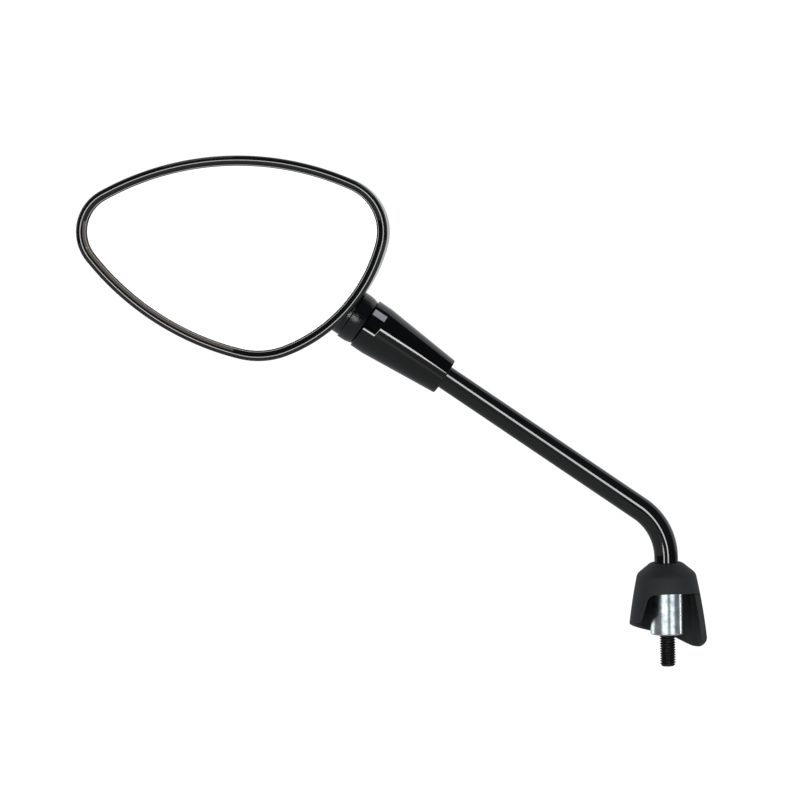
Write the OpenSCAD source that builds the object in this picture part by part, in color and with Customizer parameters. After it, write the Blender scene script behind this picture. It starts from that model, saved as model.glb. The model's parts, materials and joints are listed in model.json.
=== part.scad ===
// Motorcycle mirror: a convex glass in a pick-shaped head, carried by a ball joint on a bent
// 12 mm stem with a plated boss, an M8 stud and a rubber boot.
// The origin is the centre of the boss's bottom face, on the axis of the stud. +Z runs up the
// stem, +X points away from the head and the glass faces -Y. All sizes are millimetres.

/* [Stud and boss] */
// Major diameter of the mounting stud
stud_d = 8; // [6:0.5:10]
// Length of the stud below the boss
stud_len = 16.3; // [10:0.1:30]
// Depth that the stud goes into the boss
stud_in = 12; // [8:0.5:13]
// Chamfer at the tip of the stud
stud_chamfer = 1; // [0.4:0.1:1.5]
// Diameter of the plated boss
boss_d = 17; // [16:0.5:20]
// Solid web inside the boss, between the stud and the stem
boss_web = 3; // [1:0.5:6]
// Chamfer on the bottom edge of the boss
boss_chamfer = 0.6; // [0.3:0.1:1.2]

/* [Stem] */
// Diameter of the stem
stem_d = 12; // [10:0.5:13]
// Depth that the stem goes into the boss
stem_in = 9; // [6:0.5:10]
// Angle that the stem bends away from upright
bend_angle = 54.6; // [45:0.1:65]
// Radius of the bend at the stem's centre line
bend_r = 30; // [24:1:32]
// Straight length of the stem between the boot and the bend
stem_rise = 2.7; // [2:0.1:20]
// Distance from that point to the end of the stem
stem_reach = 162; // [155:0.5:162]

/* [Rubber boot] */
// Height of the boot's flat top above the boss
boot_rise = 12.3; // [10:0.1:14]
// Diameter where the flat top and the crown would meet in a sharp edge
boot_top_d = 15.6; // [15:0.1:20]
// Height of the crown, from the shoulder of the skirt up to the flat top
boot_crown = 5.7; // [4:0.1:7]
// Diameter where the crown and the skirt would meet in a sharp edge
boot_shoulder_d = 29.5; // [28:0.1:34]
// Radius that rounds both of these edges
boot_round = 4; // [1:0.5:4]
// Flare of the skirt, in degrees
boot_flare = 8.8; // [6:0.1:12]
// How far the skirt bulges beyond a straight cone
boot_bulge = 0.5; // [0:0.1:0.8]
// Wall of the skirt
boot_wall = 3; // [2:0.1:3.6]
// Depth of the recess in the boot's ceiling that seats on the boss
boot_seat = 1.4; // [0.5:0.1:1.8]
// Distance from the ceiling down to the top of the window in front
window_drop = 0.5; // [0.5:0.1:6]
// Left edge of the window at its top, from the stem's axis
window_left = 9.6; // [7:0.1:10]
// Slant of the window's left edge, in degrees
window_slant = 16; // [10:1:20]
// Radius of the window's upper left corner
window_round = 4; // [1:0.5:5]
// Right corner of the window at its top, from the stem's axis
window_right = 14.5; // [12:0.5:16]
// Radius of the window's upper right corner
window_fall = 5; // [3:0.5:6]
// Distance in front of the stem's axis where the window is cut off on the right
window_back = 1.5; // [0.5:0.5:4]
// Height of the bottom edge near the stem's axis, where its slant changes
hem_z = 1.7; // [0:0.1:3]
// Slant of the bottom edge on the left, in degrees
hem_slant = 10; // [5:1:15]
// Slant of the bottom edge of the tab on the right, in degrees
tab_slant = 30; // [20:1:35]
// Slant of the bottom edge, falling to the back, in degrees
hem_back = 14; // [8:0.5:16]
// Radius of the tab's lower right corner
tab_round = 3; // [2:0.5:5]
// Radius of the corner where the window meets the bottom edge on the left
flap_round = 5; // [2:0.5:6]

/* [Sleeve over the joint] */
// Distance from the sleeve's big end to the centre of the ball
sleeve_below = 5.2; // [5:0.1:7]
// Length of the sleeve
sleeve_len = 48; // [46:0.5:50]
// Diameter of the small end
sleeve_small_d = 19.1; // [17:0.1:21]
// Wall left round the neck at the rim of the big end
sleeve_rim = 0.96; // [0.8:0.01:1.6]
// Length of the straight band at the big end
sleeve_band = 7.4; // [4:0.1:10]
// Wall of the sleeve
sleeve_wall = 2; // [1.5:0.1:2.4]
// Length of the close bore at the small end
sleeve_bore_len = 8; // [7:0.5:12]
// Thickness of the grip ring in the close bore
grip_ring_t = 1.8; // [1.2:0.1:2.4]

/* [Ball joint] */
// Bare length of the shank, from the lock nut to the centre of the ball
shank_show = 16.7; // [16.3:0.1:17.5]
// Diameter of the ball
ball_d = 12; // [11:0.1:12.4]
// Diameter of the ball's threaded shank
shank_d = 8; // [6:0.1:8]
// Depth that the shank goes into the stem
shank_in = 12; // [8:0.5:16]
// Lock nut across its flats
nut_flats = 13; // [12:0.5:15]
// Height of the lock nut
nut_h = 6.5; // [4:0.1:8]
// Thickness of the spring lock washer
washer_t = 2; // [1.2:0.1:2.5]
// Thickness of the moulded seats round the ball
seat_t = 1.75; // [1.4:0.05:1.8]
// Wall of the housing round the joint
housing_wall = 3.42; // [3.3:0.01:3.6]
// Wall of the neck cover
neck_wall = 1.4; // [1:0.1:1.4]
// Length of the neck cover above the ball's centre
neck_len = 12; // [9:0.5:13]
// Step from the neck cover's ball in to its tube
neck_step = 0.8; // [0:0.1:0.8]
// Lean of the head that the joint allows to any side, in degrees
joint_lean = 17; // [10:1:17]

/* [Head outline] */
// Radius of the outer tip
tip_r = 23; // [18:0.1:28]
// Tip's centre, left of the ball
tip_x = 114.2; // [105:0.1:125]
// Tip's centre, above the ball
tip_z = 45.9; // [40:0.1:50]
// Radius of the lower corner
low_r = 40.5; // [36:0.1:46]
// Lower corner's centre, left of the ball
low_x = 48; // [46:0.1:50]
// Lower corner's centre, above the ball
low_z = 20.9; // [19:0.1:22]
// Radius of the inner upper corner
high_r = 27.7; // [24:0.1:32]
// Inner upper corner's centre, left of the ball
high_x = 11; // [8:0.1:13]
// Inner upper corner's centre, above the ball
high_z = 43.7; // [38:0.1:46]
// Radius of the long lower edge
lower_edge_r = 138.6; // [125:0.1:170]
// Radius of the edge beside the neck
neck_edge_r = 80.4; // [75:0.1:90]
// Radius of the long upper edge
upper_edge_r = 141; // [125:0.1:170]

/* [Head shell] */
// Distance from the ball's centre forward to the shell's front edge
shell_front = 16.6; // [16.4:0.1:18]
// Distance from the ball's centre back to the shell's crown
shell_back = 20; // [18:0.5:26]
// Wall of the shell
shell_wall = 2.4; // [1.6:0.1:2.6]
// Fullness of the shell's section, where 2 is an ellipse
shell_full = 3; // [2.6:0.1:3.4]
// Crown of the shell, left of the ball
crown_x = 58; // [50:1:66]
// Crown of the shell, above the ball
crown_z = 32; // [26:1:36]
// How far the sides swell out towards the neck
shell_swell = 2.8; // [1:0.1:3.4]

/* [Bezel and glass] */
// Height of the bezel in front of the shell
bezel_h = 3.5; // [3:0.1:4]
// Width of the bezel's rounded bead
bead_w = 3.2; // [2.6:0.1:3.4]
// Width of the whole bezel seen from the front
bezel_w = 5.2; // [4.8:0.1:6.5]
// Depth of the bezel's skirt inside the shell
skirt_len = 3.6; // [2.5:0.1:3.7]
// Thickness of the bezel's skirt
skirt_t = 0.8; // [0.5:0.1:0.9]
// Radius of the convex glass
glass_r = 1300; // [1000:10:1500]
// Thickness of the glass
glass_t = 2.2; // [1.8:0.1:2.4]
// Thickness of the foam pad behind the glass
pad_t = 1; // [0.6:0.1:1.2]
// Thickness of the backing plate
plate_t = 2; // [1.4:0.1:2.4]
// Height of the backing plate's ribs
rib_h = 3.6; // [3.2:0.1:4.5]
// Spacing of the backing plate's ribs
rib_gap = 22; // [16:1:30]

/* [Bracket in the head] */
// Thickness of the bracket
bracket_t = 4; // [3:0.5:5]
// Length of the bracket beyond the ball
bracket_len = 47; // [42:1:50]
// Distance beyond the ball of the two inner bracket screws
inner_screw_at = 24; // [22:0.5:28]
// Half the distance between the two inner bracket screws
screw_half = 7; // [6:0.5:8]
// Diameter of the bracket screws
screw_d = 4; // [3:0.1:4.5]
// Length of the bracket screws under their heads
screw_len = 11; // [8:0.5:12]

/* [Hidden] */
$fn = 96;

// Clearances
thread_gap = 0.05;
running_gap = 0.05;
sliding_gap = 0.08;
cover_gap = 0.3;
stud_step = 0.4;
stud_sink = 0.4;
eps = 0.01;
bend_thin = 0.02;
bend_lap = 0.3;

boss_h = stud_in + boss_web + stem_in;
boot_top = boss_h + boot_rise;
boot_shoulder = boot_top - boot_crown;
skirt_h = 34;
window_rise = 0.9;
hem_step = 2;
tab_drop = 3.6;
tab_blend = 16;
tab_flat = 0.68;
tab_foot = 15;
flap_front = 13;
flap_slant = 24;
clear_of = 60;
boot_ceiling = boss_h - boot_seat;
window_top = boot_ceiling - window_drop;

// Straight run of the stem from the bend's end to the crossing point
bend_run = bend_r * tan(bend_angle / 2);
// Height of the point where the stem's two straight axes cross
corner_z = boot_top + stem_rise + bend_run;
// Distance from the stem's corner to the centre of the ball
ball_reach = stem_reach + washer_t + nut_h + shank_show;
ball_x = -ball_reach * sin(bend_angle);
ball_z = corner_z + ball_reach * cos(bend_angle);
shank_r = shank_d / 2;
ball_r = ball_d / 2;

// Ball joint, measured along the arm from the ball's centre
seat_in = ball_r + running_gap;
seat_out = seat_in + seat_t;
cup_r = seat_out + running_gap;
bore_r = seat_out + sliding_gap;
seat_split = 0.15;
seat_lip = asin(shank_r / ball_r) + joint_lean * 0.75 + 0.5;
seat_eye = 30;
ring_low = 4.4;
ring_top = cup_r + 0.5;
ring_eye = 2.5;
spring_t = 0.6;
spring_rise = 0.8;
spring_eye = 3;
bore_top = ring_top + spring_t + spring_rise + 0.1;
housing_top = bore_top + 3.5;
cup_mouth = asin(shank_r / cup_r) + joint_lean + 1;
retainer_r = cup_r + 1.15;
retainer_low = -5.5;
retainer_high = -1.5;
housing_r = bore_r + housing_wall;
neck_r = housing_r + cover_gap + neck_wall;
neck_mouth = asin(shank_r / neck_r) + joint_lean + 4;
neck_taper = 0.6;
neck_step_at = 2.8;
neck_draft = 0.1;

// Sleeve, measured from its small end
sleeve_start = ball_reach - sleeve_below - sleeve_len;
sleeve_big_r = sqrt(pow(neck_r + cover_gap, 2) - pow(sleeve_below, 2)) + sleeve_rim;

// Head outline: three corner arcs joined by three long arcs that touch them
corners = [[-tip_x, tip_z], [-low_x, low_z], [-high_x, high_z]];
corner_r = [tip_r, low_r, high_r];
edge_r = [lower_edge_r, neck_edge_r, upper_edge_r];
corner_steps = [20, 8, 16];
edge_steps = [16, 18, 18];

// Glass stack, as depths on the head's front-to-back axis
lip_t = 0.45;
skirt_out = shell_wall + 1.4;
lip_back = -shell_front - 1.05;
glass_edge_in = 4.6;
seal_deep = 3.6;
glass_mid_x = -61;
glass_mid_z = 31;
glass_apex = -shell_front - 1.5;
plate_edge_in = 5.4;
pad_edge_in = 8;
rib_t = 1.6;
rib_edge_in = 9;
stack_t = glass_t + pad_t + plate_t;
rib_back = glass_apex + stack_t + rib_h;

// Posts in the shell that carry the backing plate, from the ball's centre
posts = [[-18, 43], [-48, 1], [-62, 63], [-106, 47]];
post_r = 3.2;
post_fit = 0.1;

outer_screw_at = bracket_len - 3;
bracket_screw_places = [
    [-screw_half, inner_screw_at], [screw_half, inner_screw_at], [0, outer_screw_at]
];
bracket_boss_r = screw_d / 2 + 1.8;
bracket_wide = 11;
bracket_tip_r = bracket_boss_r + 1.4;
web_t = 2.5;
web_h = 3;
screw_head_r = screw_d * 0.95;
screw_head_h = screw_d * 0.6;

// Places the children on the arm's axis, s millimetres beyond the stem's corner
module on_arm(s = 0) {
    translate([0, 0, corner_z]) rotate([0, -bend_angle, 0]) translate([0, 0, s]) children();
}

// Places the children at the ball's centre, with the arm's axis as their Z
module at_ball() {
    on_arm(ball_reach) children();
}

// Places the children at the ball's centre, square to the head
module in_head() {
    translate([ball_x, 0, ball_z]) children();
}

// Turns a profile drawn in X and Y into a revolved solid round Z
module turned() {
    rotate_extrude() children();
}

// The half of the plane that a revolve needs, cut to a band of heights
module band(low, high, wide = 40) {
    translate([0, low]) square([wide, high - low]);
}

// A wedge below the origin, open by the given angle from the axis
module mouth(angle, reach = 40) {
    polygon([[0, 0], [reach * tan(angle), -reach], [-1, -reach], [-1, 0]]);
}

// Centre of a long arc that touches two corner arcs from outside them
function edge_centre(i) =
    let(
        j = (i + 1) % 3,
        step = corners[j] - corners[i],
        span = norm(step),
        a = edge_r[i] - corner_r[i],
        b = edge_r[i] - corner_r[j],
        along = (a * a - b * b + span * span) / (2 * span),
        up = sqrt(a * a - along * along),
        u = step / span
    )
    corners[i] + u * along + [-u[1], u[0]] * up;

function heading(v) = atan2(v[1], v[0]);
function later(a, b) = b < a ? b + 360 : b;

function arc(centre, r, from, to, steps) =
    [for (k = [0 : steps - 1])
        let(a = from + (to - from) * k / steps)
        centre + r * [cos(a), sin(a)]];

function corner_arc(i, inset) =
    let(
        from = heading(corners[i] - edge_centre((i + 2) % 3)),
        to = heading(corners[i] - edge_centre(i))
    )
    arc(corners[i], corner_r[i] - inset, from, later(from, to), corner_steps[i]);

function edge_arc(i, inset) =
    let(
        c = edge_centre(i),
        from = heading(corners[i] - c),
        to = heading(corners[(i + 1) % 3] - c)
    )
    arc(c, edge_r[i] - inset, from, later(from, to), edge_steps[i]);

// Closed outline of the head, moved inwards by inset
function outline(inset) =
    [for (i = [0 : 2]) each concat(corner_arc(i, inset), edge_arc(i, inset))];

// A slab with the head's outline between two depths
module slab(inset, front, back) {
    translate([0, back, 0]) rotate([90, 0, 0]) linear_extrude(back - front) polygon(outline(inset));
}

// Solid bounded by rings of equal point count; a closed loop has no caps
module loft(rings, loop = false) {
    n = len(rings[0]);
    last = len(rings) - 1;
    points = [for (ring = rings) each ring];
    sides = [
        for (i = [0 : loop ? last : last - 1])
            for (k = [0 : n - 1])
                let(
                    a = i * n + k,
                    b = i * n + (k + 1) % n,
                    c = ((i + 1) % (last + 1)) * n + (k + 1) % n,
                    d = ((i + 1) % (last + 1)) * n + k
                )
                each [[a, b, c], [a, c, d]]
    ];
    front = [[for (k = [n - 1 : -1 : 0]) k]];
    back = [[for (k = [0 : n - 1]) last * n + k]];
    polyhedron(points, loop ? sides : concat(sides, front, back), convexity = 6);
}

// One ring of the shell at the stage t of its section, from 0 at the front to 90 at the crown
function shell_ring(edge, front, depth, t) =
    let(
        power = 2 / shell_full,
        grow = pow(cos(t), power),
        y = front + depth * pow(sin(t), power),
        shift = shell_swell * sin(min(2 * t, 90)) * grow
    )
    [for (p = edge)
        [
            -crown_x + (p[0] + crown_x) * grow + shift * sin(bend_angle),
            y,
            crown_z + (p[1] - crown_z) * grow - shift * cos(bend_angle)
        ]];

module dome(inset, front, back) {
    stages = [0, 9, 20, 32, 44, 55, 65, 74, 82, 88];
    loft([for (t = stages) shell_ring(outline(inset), front, back - front, t)]);
}

// Convex disc bounded by two spheres about the glass's own centre, from one depth to another
module curved_sheet(front, back) {
    wide = 95;
    around = 240;
    along = 1440;
    top = glass_r - (front - glass_apex);
    translate([glass_mid_x, glass_apex + glass_r, glass_mid_z])
        rotate([90, 0, 0])
        rotate_extrude($fn = around)
        intersection() {
            difference() {
                circle(top, $fn = along);
                circle(top - (back - front), $fn = along);
            }
            translate([0, glass_r - 40]) square([wide, 60]);
        }
}

// The thread is full outside the boss and drawn at its pitch diameter inside it
module stud() {
    r = stud_d / 2;
    held = r - stud_step;
    color("#1c1c1d")
    turned()
    polygon([
        [0, -stud_len], [r - stud_chamfer, -stud_len], [r, -stud_len + stud_chamfer],
        [r, 0], [held, 0], [held, stud_in], [0, stud_in]
    ]);
}

module boss() {
    r = boss_d / 2;
    thread_r = stud_d / 2 - stud_step + thread_gap;
    sink_r = stud_d / 2 + stud_sink;
    color("#c9cfd1")
    difference() {
        turned()
        polygon([
            [0, 0], [r - boss_chamfer, 0], [r, boss_chamfer],
            [r, boss_h - boss_chamfer], [r - boss_chamfer, boss_h], [0, boss_h]
        ]);
        translate([0, 0, -1]) cylinder(h = stud_in + 1, r = thread_r);
        // Countersink at the mouth of the thread
        translate([0, 0, -eps]) cylinder(h = sink_r - thread_r, r1 = sink_r, r2 = thread_r);
        translate([0, 0, boss_h - stem_in]) cylinder(h = stem_in + 1, r = stem_d / 2 + thread_gap);
    }
}

module stem() {
    foot = boss_h - stem_in;
    color("#0c0c0d")
    difference() {
        union() {
            translate([0, 0, foot])
                cylinder(h = corner_z - bend_run - foot + bend_lap, d = stem_d);
            // The tube draws in a little as it is bent
            translate([-bend_r, 0, corner_z - bend_run])
                rotate([90, 0, 0])
                rotate_extrude(angle = bend_angle)
                translate([bend_r, 0]) circle(d = stem_d - bend_thin);
            on_arm(bend_run - bend_lap)
                cylinder(h = stem_reach - bend_run + bend_lap, d = stem_d);
        }
        on_arm(stem_reach - shank_in) cylinder(h = shank_in + 1, r = shank_r + thread_gap);
    }
}

module ball_stud() {
    tail = ball_reach - stem_reach + shank_in;
    color("#b9bcbf")
    at_ball()
    turned()
    union() {
        intersection() {
            circle(ball_r);
            band(-ball_r, ball_r - 0.4);
        }
        translate([0, -tail]) square([shank_r, tail - ball_r / 2]);
    }
}

module lock_washer() {
    split = 1.2;
    color("#9a9ea1")
    on_arm(stem_reach)
    difference() {
        cylinder(h = washer_t, r = stem_d / 2 + 0.5);
        translate([0, 0, -1]) cylinder(h = washer_t + 2, r = shank_r + thread_gap);
        translate([0, -split / 2, -1]) cube([stem_d, split, washer_t + 2]);
    }
}

module lock_nut() {
    corner_cut = 0.9;
    r = nut_flats / sqrt(3);
    color("#b9bcbf")
    on_arm(stem_reach + washer_t)
    difference() {
        intersection() {
            cylinder(h = nut_h, r = r, $fn = 6);
            turned()
            polygon([
                [0, 0], [r - corner_cut, 0], [r, corner_cut * 0.55],
                [r, nut_h - corner_cut * 0.55], [r - corner_cut, nut_h], [0, nut_h]
            ]);
        }
        translate([0, 0, -1]) cylinder(h = nut_h + 2, r = shank_r + thread_gap);
    }
}

// Outline through [x, y, r] corners, with each corner rounded to its radius r
function rounded(corners, steps = 6) =
    [for (i = [0 : len(corners) - 1])
        let(
            n = len(corners),
            c = corners[i],
            p = [c[0], c[1]],
            before = corners[(i + n - 1) % n],
            after = corners[(i + 1) % n],
            u = [before[0], before[1]] - p,
            v = [after[0], after[1]] - p,
            a = u / norm(u),
            b = v / norm(v),
            half = acos(a * b) / 2,
            middle = p + (a + b) / norm(a + b) * c[2] / sin(half),
            from = heading(p + a * c[2] / tan(half) - middle),
            to = heading(p + b * c[2] / tan(half) - middle),
            sweep = (to - from + 540) % 360 - 180
        )
        each c[2] == 0 ? [p] :
            [for (k = [0 : steps])
                middle + c[2] * [cos(from + sweep * k / steps), sin(from + sweep * k / steps)]]];

function skirt_r(z) =
    let(t = (boot_shoulder - z) / skirt_h)
    boot_shoulder_d / 2 + (boot_shoulder - z) * tan(boot_flare) + 4 * boot_bulge * t * (1 - t);

// Front view of what the window takes away: an arch, open to the right and below
module window_shape() {
    flap_z = (hem_z + (hem_step + window_left + window_top * tan(window_slant)) * tan(hem_slant)
        + flap_front * tan(hem_back)) / (1 + tan(window_slant) * tan(hem_slant));
    flap_x = window_left + (window_top - flap_z) * tan(window_slant);
    side_z = window_top - window_rise;
    polygon(rounded([
        [-clear_of, -clear_of, 0],
        [-clear_of, flap_z - (clear_of - flap_x) * tan(flap_slant), 0],
        [-flap_x, flap_z, flap_round],
        [-window_left, side_z, window_round],
        [0, window_top, clear_of],
        [window_right, side_z, window_fall],
        [clear_of, side_z + window_right - clear_of, 0],
        [clear_of, -clear_of, 0]
    ]));
}

// Front view of what is cut off below the bottom edge and round the tab's lower corner
module hem_shape() {
    tab_x = skirt_r(hem_z - tab_drop);
    foot_x = tab_x * tab_flat;
    foot_z = hem_z - (foot_x - hem_step) * tan(tab_slant);
    polygon(rounded([
        [-clear_of, -clear_of, 0],
        [-clear_of, hem_z + (clear_of + hem_step) * tan(hem_slant), 0],
        [hem_step, hem_z, tab_blend],
        [foot_x, foot_z, tab_blend / 2],
        [tab_x, foot_z - (tab_x - foot_x) * tan(tab_foot), tab_round],
        [tab_x, clear_of, 0],
        [clear_of, clear_of, 0],
        [clear_of, -clear_of, 0]
    ]));
}

module base_cap() {
    low = -16;
    bands = 10;
    skirt_points = [for (k = [0 : bands - 1])
        let(z = low + (boot_shoulder - low) * k / bands) [skirt_r(z), z, 0]];
    color("#2b2c2d")
    difference() {
        turned()
        polygon(rounded(concat([[0, low, 0]], skirt_points, [
            [boot_shoulder_d / 2, boot_shoulder, boot_round],
            [boot_top_d / 2, boot_top, boot_round],
            [0, boot_top, 0]
        ])));
        turned()
        polygon(concat(
            [[0, low - 1], [skirt_r(low) - boot_wall, low - 1]],
            [for (p = skirt_points) if (p[1] < boot_ceiling - 1) [p[0] - boot_wall, p[1]]],
            [
                [skirt_r(boot_ceiling) - boot_wall, boot_ceiling], [boss_d / 2 + running_gap, boot_ceiling],
                [boss_d / 2 + running_gap, boss_h], [stem_d / 2 + running_gap, boss_h],
                [stem_d / 2 + running_gap, boot_top + 1], [0, boot_top + 1]
            ]
        ));
        translate([0, -window_back, 0]) rotate([90, 0, 0]) linear_extrude(clear_of) window_shape();
        rotate([-hem_back, 0, 0]) translate([0, clear_of, 0]) rotate([90, 0, 0])
            linear_extrude(2 * clear_of) hem_shape();
    }
}

module sleeve() {
    edge = 0.6;
    small = sleeve_small_d / 2;
    big = sleeve_big_r;
    kink = sleeve_len - sleeve_band;
    bore = stem_d / 2 + sliding_gap;
    groove_low = (sleeve_bore_len - grip_ring_t) / 2;
    groove_r = bore + grip_ring_t * 0.8;
    lead = 1.5;
    function outer_r(z) = small + (big - small) * min(z / kink, 1);
    color("#0d0d0e")
    on_arm(sleeve_start)
    difference() {
        turned()
        polygon([
            [0, 0], [small - edge, 0], [small, edge], [big, kink],
            [big, sleeve_len - edge / 2], [big - edge / 2, sleeve_len], [0, sleeve_len]
        ]);
        turned()
        polygon([
            [0, -1], [bore, -1], [bore, groove_low], [groove_r, groove_low],
            [groove_r, groove_low + grip_ring_t], [bore, groove_low + grip_ring_t],
            [bore, sleeve_bore_len], [outer_r(sleeve_bore_len + lead) - sleeve_wall, sleeve_bore_len + lead],
            [big - sleeve_wall, kink], [big - sleeve_wall, sleeve_len + 1], [0, sleeve_len + 1]
        ]);
        translate([0, 0, ball_reach - sleeve_start]) sphere(neck_r + cover_gap);
    }
}

module grip_ring() {
    bore = stem_d / 2 + sliding_gap;
    groove_low = (sleeve_bore_len - grip_ring_t) / 2;
    outer = bore + grip_ring_t * 0.8 - running_gap;
    inner = stem_d / 2 + running_gap / 2;
    color("#151515")
    on_arm(sleeve_start + groove_low + running_gap)
    difference() {
        cylinder(h = grip_ring_t - 2 * running_gap, r = outer);
        translate([0, 0, -1]) cylinder(h = grip_ring_t + 2, r = inner);
    }
}

module ball_seat_lower() {
    color("#e4e2da")
    at_ball()
    turned()
    difference() {
        intersection() {
            difference() {
                circle(seat_out);
                circle(seat_in);
            }
            band(-seat_out, -seat_split);
        }
        mouth(seat_lip);
    }
}

module ball_seat_upper() {
    color("#e4e2da")
    at_ball()
    turned()
    difference() {
        intersection() {
            difference() {
                circle(seat_out);
                circle(seat_in);
            }
            band(seat_split, seat_out);
        }
        mirror([0, 1]) mouth(seat_eye);
    }
}

module pressure_ring() {
    color("#a9adb0")
    at_ball()
    turned()
    difference() {
        translate([ring_eye, ring_low]) square([bore_r - sliding_gap - ring_eye, ring_top - ring_low]);
        circle(cup_r);
    }
}

module disc_spring() {
    wide = bore_r - 0.4;
    foot = ring_top + running_gap;
    color("#8c9094")
    at_ball()
    turned()
    polygon([
        [spring_eye, foot + spring_rise], [wide, foot],
        [wide, foot + spring_t], [spring_eye, foot + spring_rise + spring_t]
    ]);
}

// Outer section of the housing above the ball's centre, grown by a clearance
module housing_profile(grow) {
    polygon([
        [0, 0], [housing_r + grow, 0], [housing_r - neck_taper + grow, neck_len],
        [housing_r - neck_taper - 1.5 + grow, housing_top + grow], [0, housing_top + grow]
    ]);
}

module joint_housing() {
    color("#6d7174")
    at_ball()
    difference() {
        union() {
            turned()
            difference() {
                union() {
                    intersection() {
                        circle(housing_r);
                        band(retainer_low, 0);
                    }
                    housing_profile(0);
                }
                band(-40, retainer_high, retainer_r + thread_gap);
                band(retainer_high - eps, bore_top, bore_r);
            }
            // Flat bracket that runs into the head
            translate([0, bracket_t / 2, 0]) rotate([90, 0, 0]) linear_extrude(bracket_t)
            union() {
                polygon([
                    [-bracket_wide + 2.5, bore_top + 1], [bracket_wide - 2.5, bore_top + 1],
                    [bracket_wide, inner_screw_at - 4], [bracket_wide, inner_screw_at],
                    [bracket_tip_r, outer_screw_at], [-bracket_tip_r, outer_screw_at],
                    [-bracket_wide, inner_screw_at], [-bracket_wide, inner_screw_at - 4]
                ]);
                translate([0, outer_screw_at]) circle(bracket_tip_r);
                for (side = [-1, 1])
                    translate([side * screw_half, inner_screw_at]) circle(bracket_boss_r);
            }
            // Stiffening rib on the bracket's front face
            translate([-web_t / 2, -bracket_t / 2 - web_h, bore_top + 1])
                cube([web_t, web_h + eps, outer_screw_at - bracket_tip_r - bore_top - 1]);
        }
        for (p = bracket_screw_places)
            translate([p[0], 0, p[1]]) rotate([90, 0, 0])
            cylinder(h = 3 * bracket_t, r = screw_d / 2 + 0.2, center = true);
    }
}

module retaining_ring() {
    color("#8c9094")
    at_ball()
    turned()
    difference() {
        band(retainer_low, retainer_high, retainer_r);
        circle(cup_r);
        mouth(cup_mouth);
    }
}

// Section of the neck cover, grown by a gap: a ball below, stepped in to a tube above
module neck_profile(gap, top) {
    r = neck_r + gap;
    shelf = neck_step_at + gap;
    intersection() {
        circle(r);
        band(-r, 0);
    }
    polygon([
        [0, 0], [r, 0], [r, shelf], [r - neck_step, shelf], [r - neck_step - neck_draft, top], [0, top]
    ]);
}

module neck_cover() {
    color("#1d1e1f")
    at_ball()
    turned()
    difference() {
        neck_profile(0, neck_len);
        difference() {
            circle(neck_r - neck_wall);
            translate([-40, 0]) square([80, 40]);
        }
        polygon([
            [-1, -eps], [neck_r - neck_wall, -eps], [neck_r - neck_wall, 0],
            [neck_r - neck_wall - neck_taper, neck_len], [neck_r - neck_wall - neck_taper, neck_len + 1],
            [-1, neck_len + 1]
        ]);
        mouth(neck_mouth);
    }
}

module bracket_screws() {
    color("#b9bcbf")
    at_ball()
    for (p = bracket_screw_places)
        translate([p[0], -bracket_t / 2, p[1]])
        rotate([-90, 0, 0])
        difference() {
            union() {
                cylinder(h = screw_len, d = screw_d);
                translate([0, 0, -screw_head_h]) cylinder(h = screw_head_h, r = screw_head_r);
            }
            translate([0, 0, -screw_head_h - 1])
                cylinder(h = 1 + screw_head_h * 0.6, r = screw_d * 0.3, $fn = 6);
        }
}

module shell() {
    boss_front = bracket_t / 2;
    post_front = rib_back + post_fit;
    color("#0b0b0c")
    in_head()
    difference() {
        dome(0, -shell_front, shell_back);
        difference() {
            dome(shell_wall, -shell_front - eps, shell_back - shell_wall);
            rotate([0, -bend_angle, 0])
                for (p = bracket_screw_places)
                    translate([p[0], boss_front, p[1]]) rotate([-90, 0, 0])
                    cylinder(h = 2 * shell_back, r = bracket_boss_r);
            for (p = posts)
                translate([p[0], post_front, p[1]]) rotate([-90, 0, 0])
                    cylinder(h = 2 * (shell_front + shell_back), r = post_r);
        }
        rotate([0, -bend_angle, 0]) {
            for (p = bracket_screw_places)
                translate([p[0], boss_front - 1, p[1]]) rotate([-90, 0, 0])
                cylinder(h = screw_len - bracket_t + 1.5, r = screw_d / 2 + thread_gap);
            turned() neck_profile(cover_gap, neck_len + cover_gap);
            turned() housing_profile(cover_gap);
        }
    }
}

module glass() {
    color("#dfe4e6")
    in_head()
    intersection() {
        curved_sheet(glass_apex, glass_apex + glass_t);
        slab(glass_edge_in, -40, 10);
    }
}

module glass_pad() {
    color("#3a3a3a")
    in_head()
    intersection() {
        curved_sheet(glass_apex + glass_t, glass_apex + glass_t + pad_t);
        slab(pad_edge_in, -40, 10);
    }
}

module ribbed_plate() {
    front = glass_apex + glass_t + pad_t;
    low = low_z - low_r;
    tall = 2 * (low_r + tip_r);
    left = -tip_x - tip_r;
    wide = tip_x + tip_r + high_r;
    deep = 40;
    count = 4;
    union() {
        intersection() {
            curved_sheet(front, front + plate_t);
            slab(plate_edge_in, -40, 10);
        }
        // Egg-crate ribs behind the plate, ending on one flat plane
        difference() {
            intersection() {
                slab(rib_edge_in, front - 1, rib_back);
                union() {
                    for (k = [-count : count])
                        translate([glass_mid_x + k * rib_gap - rib_t / 2, -deep, low])
                            cube([rib_t, 2 * deep, tall]);
                    for (k = [-2 : 2])
                        translate([left, -deep, glass_mid_z + k * rib_gap - rib_t / 2])
                            cube([wide, 2 * deep, rib_t]);
                    for (p = posts)
                        translate([p[0], 0, p[1]]) rotate([90, 0, 0]) cylinder(h = deep, r = post_r + 1);
                }
            }
            curved_sheet(front - 12, front + plate_t / 2);
        }
    }
}

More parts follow.
